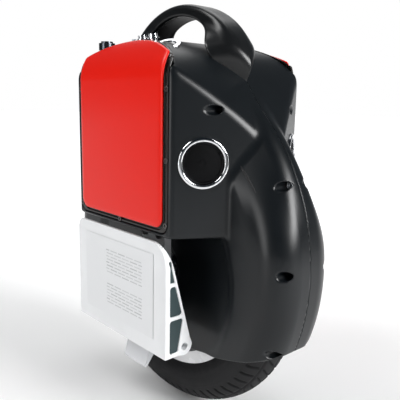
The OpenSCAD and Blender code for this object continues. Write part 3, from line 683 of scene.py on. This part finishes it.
def build_pedals():
    voxel = 1.0
    for name, s in SIDES:
        pedal = mesh_from_field(
            f"{name}_foot_pedal", pedal_field, (-PEDAL_X, 60, PEDAL_LOW - 3),
            (PEDAL_X, PEDAL_Y, PEDAL_TOP), voxel, mirror=s < 0)
        place(pedal, f"pedal_{name[0]}", "pedal", f"pedal_{name}")


# ---------- speakers ----------

def lathe(name, profile, turns=96, close=False):
    """A profile of (radius, height) points in millimetres turned about Z."""
    points, faces = [], []
    n = len(profile)
    for i in range(turns):
        a = 2 * math.pi * i / turns
        points += [(r * math.cos(a) * MM, r * math.sin(a) * MM, h * MM) for r, h in profile]
    last = n if close else n - 1
    for i in range(turns):
        j = (i + 1) % turns
        for k in range(last):
            m = (k + 1) % n
            faces.append((i * n + k, j * n + k, j * n + m, i * n + m))
    return mesh_object(name, points, faces)


def arc(cx, cz, r, a0, a1, count):
    """Points of an arc, angles in degrees."""
    return [(cx + r * math.cos(math.radians(a)), cz + r * math.sin(math.radians(a)))
            for a in np.linspace(a0, a1, count)]


def face_matrix(at, out, up=(0, 0, 1)):
    """Frame whose Z is out and whose Y leans to up, at a place in millimetres."""
    z = Vector(out).normalized()
    x = Vector(up).cross(z).normalized()
    y = z.cross(x)
    turn = Matrix((x, y, z)).transposed().to_4x4()
    return Matrix.Translation(Vector(at) * MM) @ turn


def move(piece, matrix):
    piece.data.transform(matrix)
    return piece


def grille_mesh(name, radius, pitch, hole):
    """Slightly domed sheet with a hexagonal pattern of holes."""
    points, faces = [], []

    def height(x, y):
        return 1.2 * (1 - (x * x + y * y) / radius ** 2)

    rows = int(radius / (pitch * 0.866)) + 1
    for row in range(-rows, rows + 1):
        for col in range(-rows, rows + 1):
            cx = (col + 0.5 * (row % 2)) * pitch
            cy = row * pitch * 0.866
            if math.hypot(cx, cy) > radius - pitch * 0.55:
                continue
            start = len(points)
            for i in range(12):
                a = math.pi * i / 6 + math.pi / 6
                cell = pitch / math.sqrt(3) if i % 2 == 0 else pitch / 2
                points.append((cx + cell * math.cos(a), cy + cell * math.sin(a)))
            for r, drop in ((hole, 0), (hole, -0.8)):
                for i in range(12):
                    a = math.pi * i / 6 + math.pi / 6
                    points.append((cx + r * math.cos(a), cy + r * math.sin(a), drop))
            for ring in (0, 12):
                for i in range(12):
                    j = (i + 1) % 12
                    faces.append((start + ring + i, start + ring + j,
                                  start + ring + 12 + j, start + ring + 12 + i))
    placed = [(p[0] * MM, p[1] * MM, (height(p[0], p[1]) + (p[2] if len(p) > 2 else 0)) * MM)
              for p in points]
    sheet = mesh_object(name, placed, faces, smooth=False)
    work = bmesh.new()
    work.from_mesh(sheet.data)
    bmesh.ops.remove_doubles(work, verts=work.verts, dist=0.01 * MM)
    work.to_mesh(sheet.data)
    work.free()
    return sheet


def build_speakers():
    ring = [(21.6, -1.5)] + arc(23.2, 0.6, 1.6, 180, 90, 6) + arc(24.6, 0.4, 1.8, 90, 0, 7) + [(26.4, -1.0)]
    rim_of_grille = [(21.7, -1.6), (21.2, -0.6), (20.0, -0.2), (19.4, -0.4), (19.4, -2.0)]
    for name, s in SIDES:
        at = (SPEAKER_AT[0], s * SPEAKER_AT[1], SPEAKER_AT[2])
        out = (BOW_NORMAL[0], s * BOW_NORMAL[1], 0)
        matrix = face_matrix(at, out)
        chrome = move(lathe(f"{name}_speaker_ring", ring + [(26.4, -4.5), (21.6, -4.5)], close=True), matrix)
        place(chrome, "body", "chrome", *(["speaker_rings"] if s < 0 else []))
        mesh = grille_mesh(f"{name}_speaker_mesh", 20.6, 1.5, 0.5)
        place(move(mesh, matrix @ Matrix.Translation((0, 0, -1.6 * MM))), "body", "grille",
              *(["speaker_grilles"] if s < 0 else []))
        frame_ring = lathe(f"{name}_grille_rim", rim_of_grille)
        place(move(frame_ring, matrix), "body", "grille")
        back = lathe(f"{name}_speaker_cone", [(21.4, -3.2), (16, -4.6), (6, -6.5), (5.5, -5.2), (0.05, -4.2)])
        place(move(back, matrix), "body", "driver")


# ---------- tyre ----------

LUGS = 72
LUG_DEPTH, LUG_BAND = 2.2, (38, 41, 66, 70)              # bands are in degrees from the crown
RING_DEPTH, RING_AT, RING_WIDTH = 1.8, 34, 1.6
CENTRE_DEPTH, CENTRE_BAND = 1.5, (4, 7, 26, 30)
MIDDLE_DEPTH, MIDDLE_WIDTH = 1.6, 2.0
GROOVE_DEPTH, GROOVES = 0.5, (76, 83, 101)
RIB_HEIGHT, RIB_BAND, RIBS = 0.35, (108, 112, 126, 130), 360


def band(edges, value):
    """1 between the middle two of four edges, falling off smoothly to 0 at the outer two."""
    return step(edges[0], edges[1], value) * (1 - step(edges[2], edges[3], value))


def tyre_profile(count):
    """Section from bead to bead: radius, y, and the angle from the crown in degrees."""
    mid = TYRE_R - TYRE_HALF
    start = math.degrees(math.acos((RIM_R - 5 - mid) / TYRE_HALF))
    angles = np.radians(np.linspace(-start, start, count))
    return mid + TYRE_HALF * np.cos(angles), TYRE_HALF * np.sin(angles), np.degrees(angles)


def tread_depth(t, a):
    """Depth cut into the tyre at turn t, in radians, and angle a from the crown, in degrees."""
    size = np.abs(a)
    turn = t * LUGS / (2 * np.pi)
    depth = LUG_DEPTH * band((0.26, 0.30, 0.52, 0.56), (turn + 0.010 * size) % 1) * band(LUG_BAND, size)
    depth += RING_DEPTH * np.exp(-((size - RING_AT) / RING_WIDTH) ** 2)
    depth += CENTRE_DEPTH * band((0.0, 0.05, 0.16, 0.21), (turn + 0.03 * a) % 1) * band(CENTRE_BAND, size)
    depth += MIDDLE_DEPTH * np.exp(-(a / MIDDLE_WIDTH) ** 2)
    for groove in GROOVES:
        depth += GROOVE_DEPTH * np.exp(-(size - groove) ** 2)
    return depth - RIB_HEIGHT * band(RIB_BAND, size) * (0.5 + 0.5 * np.cos(t * RIBS))


def build_tyre():
    turns = 1728
    count = 150
    r, y, angle = tyre_profile(count)
    t, a = np.meshgrid(np.linspace(0, 2 * np.pi, turns, endpoint=False), angle, indexing="ij")
    depth = tread_depth(t, a)
    radius = r[None, :] - depth * np.cos(np.radians(a)) - 0.3
    side = y[None, :] - depth * np.sin(np.radians(a)) * 0.98
    points = np.stack([radius * np.cos(t), side, radius * np.sin(t) + AXLE_Z], 2).reshape(-1, 3) * MM
    i, k = np.meshgrid(np.arange(turns), np.arange(count - 1), indexing="ij")
    here, after = i * count + k, (i + 1) % turns * count + k
    quads = np.stack([here, here + 1, after + 1, after], 2).reshape(-1, 4)
    first = np.arange(turns) * count
    after = np.roll(first, -1)
    bead = np.stack([first + count - 1, first, after, after + count - 1], 1)
    tyre = mesh_object("treaded_tyre", points, np.vstack([quads, bead]))
    place(tyre, "wheel", "tyre", "tyre")


# ---------- screws ----------

SCREW_TURNS = 48
BEZEL_SCREW_X, BEZEL_SCREW_Z = 82.8, (251, 318, 389)
BEZEL_LOW_SCREW = (0, 244.3)
POCKET_HEAD_R, HOOD_HEAD_R = 4.6, 4.2
POCKET_HEAD_H = 3.0


def hex_screw(name, r, height, socket):
    """Cap screw head with rounded rim and a hexagonal socket, its top at Z = 0."""
    soft = 0.2 * height
    profile = [(r, -height), (r, -0.25 * height), *arc(r - soft, -soft, soft, 0, 90, 5), (socket * 1.12, 0)]
    head = lathe(name, profile, turns=SCREW_TURNS)
    work = bmesh.new()
    work.from_mesh(head.data)
    count = len(profile)
    work.verts.ensure_lookup_table()
    rim = [work.verts[i * count + count - 1] for i in range(SCREW_TURNS)]
    inner, floor = [], []
    for v in rim:
        a = math.atan2(v.co.y, v.co.x)
        local = (a + math.pi / 6) % (math.pi / 3) - math.pi / 6
        reach = socket * math.cos(math.pi / 6) / math.cos(local) * MM
        inner.append(work.verts.new((reach * math.cos(a), reach * math.sin(a), -0.08 * MM)))
        floor.append(work.verts.new((reach * math.cos(a), reach * math.sin(a), -0.6 * height * MM)))
    for i in range(SCREW_TURNS):
        j = (i + 1) % SCREW_TURNS
        work.faces.new((rim[i], rim[j], inner[j], inner[i]))
        work.faces.new((inner[i], inner[j], floor[j], floor[i]))
    work.faces.new(floor)
    bmesh.ops.recalc_face_normals(work, faces=work.faces)
    work.to_mesh(head.data)
    work.free()
    return head


def build_screws():
    places = [(sx * BEZEL_SCREW_X, z) for sx in (-1, 1) for z in BEZEL_SCREW_Z] + [BEZEL_LOW_SCREW]
    for name, s in SIDES:
        heads = []
        for i, (x, z) in enumerate(places):
            head = hex_screw(f"{name}_bezel_screw_{i}", 2.9, 1.7, 1.5)
            heads.append(move(head, face_matrix((x, s * (BOX_Y + 0.5), z), (0, s, 0))))
        joined = join(heads, f"{name}_bezel_screws")
        place(joined, "body", "dark_screw", f"bezel_screws_{name}")
    heads = []
    deep = [(place, POCKET_FLOOR, POCKET_HEAD_R) for place in POCKETS]
    deep.append((HOOD_POCKET, HOOD_POCKET_FLOOR, HOOD_HEAD_R))
    for sx in (-1, 1):
        for (x, z), y, r in deep:
            head = hex_screw(f"pocket_screw_{sx}_{z}", r, POCKET_HEAD_H, 2.4)
            heads.append(move(head, face_matrix((sx * x, -y - POCKET_HEAD_H - 0.2, z), (0, -1, 0))))
    place(join(heads, "shell_pocket_screws"), "body", "steel", "shell_screws")


def join(pieces, name):
    """Several meshes as one piece."""
    work = bmesh.new()
    for piece in pieces:
        work.from_mesh(piece.data)
        bpy.data.objects.remove(piece)
    mesh = bpy.data.meshes.new(name)
    work.to_mesh(mesh)
    work.free()
    made = bpy.data.objects.new(name, mesh)
    bpy.context.scene.collection.objects.link(made)
    return made


# ---------- stage: camera, floor and lights ----------

AWAY = (-0.75, 0.66)                     # the way the camera looks, in plan
CAMERA_AZIMUTH, CAMERA_ELEVATION, CAMERA_ROLL = 48.73, 11.14, 1.0
CAMERA_DISTANCE = 0.67756                # metres
CAMERA_AIM_Z = 0.240                     # the height it is turned about
CAMERA_ASIDE, CAMERA_RAISED = 0.00696, 0.00686
CAMERA_LENS = 48.2382                    # millimetres, on a 36 mm sensor
CAMERA_SHIFT = (0.0236, 0.016175)


def build_camera():
    azimuth, elevation, roll = (math.radians(a) for a in (CAMERA_AZIMUTH, CAMERA_ELEVATION, CAMERA_ROLL))
    back = Vector((math.sin(azimuth) * math.cos(elevation), -math.cos(azimuth) * math.cos(elevation),
                   math.sin(elevation)))
    right = Vector((math.cos(azimuth), math.sin(azimuth), 0))
    up = back.cross(right)
    spot = Vector((0, 0, CAMERA_AIM_Z)) + right * CAMERA_ASIDE + up * CAMERA_RAISED + back * CAMERA_DISTANCE
    turned_right = right * math.cos(roll) + up * math.sin(roll)
    turned_up = up * math.cos(roll) - right * math.sin(roll)
    data = bpy.data.cameras.new("camera")
    data.sensor_width = 36
    data.lens = CAMERA_LENS
    data.shift_x, data.shift_y = CAMERA_SHIFT
    camera = bpy.data.objects.new("camera", data)
    bpy.context.scene.collection.objects.link(camera)
    turn = Matrix((turned_right, turned_up, back)).transposed().to_4x4()
    camera.matrix_world = Matrix.Translation(spot) @ turn
    bpy.context.scene.camera = camera


def build_floor():
    """Pale floor that brightens into the background behind the object."""
    size = 14.0
    floor = mesh_object("floor", [(-size, -size, 0), (size, -size, 0), (size, size, 0), (-size, size, 0)],
                        [(0, 1, 2, 3)], smooth=False)
    made, nodes, links, shader = material("pale_floor", (0.86, 0.86, 0.86), 0.6, spec=0.1)
    tones = [(0.3, (0.85, 0.85, 0.85)), (0.7, (0.88, 0.88, 0.88))]
    links.new(ramp(nodes, links, noise(nodes, links, 2, 2), tones), shader.inputs["Base Color"])
    shader.inputs["Emission Color"].default_value = (1, 1, 1, 1)
    glow = spread(nodes, links, along_view(nodes, links, "Object"), 0, 1.0, -0.1, 1.6)
    links.new(glow, shader.inputs["Emission Strength"])
    floor.data.materials.append(made)


def build_world():
    """White behind the object and dark in front of it, so that the near faces stay dark."""
    world = bpy.data.worlds.new("studio")
    bpy.context.scene.world = world
    world.use_nodes = True
    nodes, links = world.node_tree.nodes, world.node_tree.links
    shade = spread(nodes, links, along_view(nodes, links, "Generated"), 0, 1, -1, 1)
    stops = [(0.5, (0.012, 0.016, 0.02)), (0.89, (0.12, 0.13, 0.14)), (0.96, (1, 1, 1))]
    links.new(ramp(nodes, links, shade, stops), nodes["Background"].inputs["Color"])
    nodes["Background"].inputs["Strength"].default_value = 1.0


def area_light(name, spot, power, size, size_y=None):
    """A soft light aimed at the middle of the object."""
    data = bpy.data.lights.new(name, "AREA")
    data.energy = power
    data.size = size
    if size_y:
        data.shape = "RECTANGLE"
        data.size_y = size_y
    light = bpy.data.objects.new(name, data)
    bpy.context.scene.collection.objects.link(light)
    light.location = spot
    light.rotation_mode = "QUATERNION"
    light.rotation_quaternion = (Vector((0, 0, 0.25)) - Vector(spot)).to_track_quat("-Z", "Y")


def build_lights():
    area_light("side_strip", (0.05, -2.2, 0.55), 13, 0.6, 1.4)
    area_light("ridge_softbox", (1.85, 0.45, 1.05), 50, 0.9)
    area_light("front_softbox", (-0.5, -1.5, 2.1), 31, 1.1)
    area_light("top_softbox", (-0.6, 0.6, 1.9), 10, 1.2)
    bpy.context.scene.view_settings.view_transform = "Standard"


# ---------- everything ----------

build_camera()
finish_cad_nodes()
build_shells()
build_flanks()
build_handle()
build_pedals()
build_speakers()
build_tyre()
build_screws()
build_floor()
build_world()
build_lights()
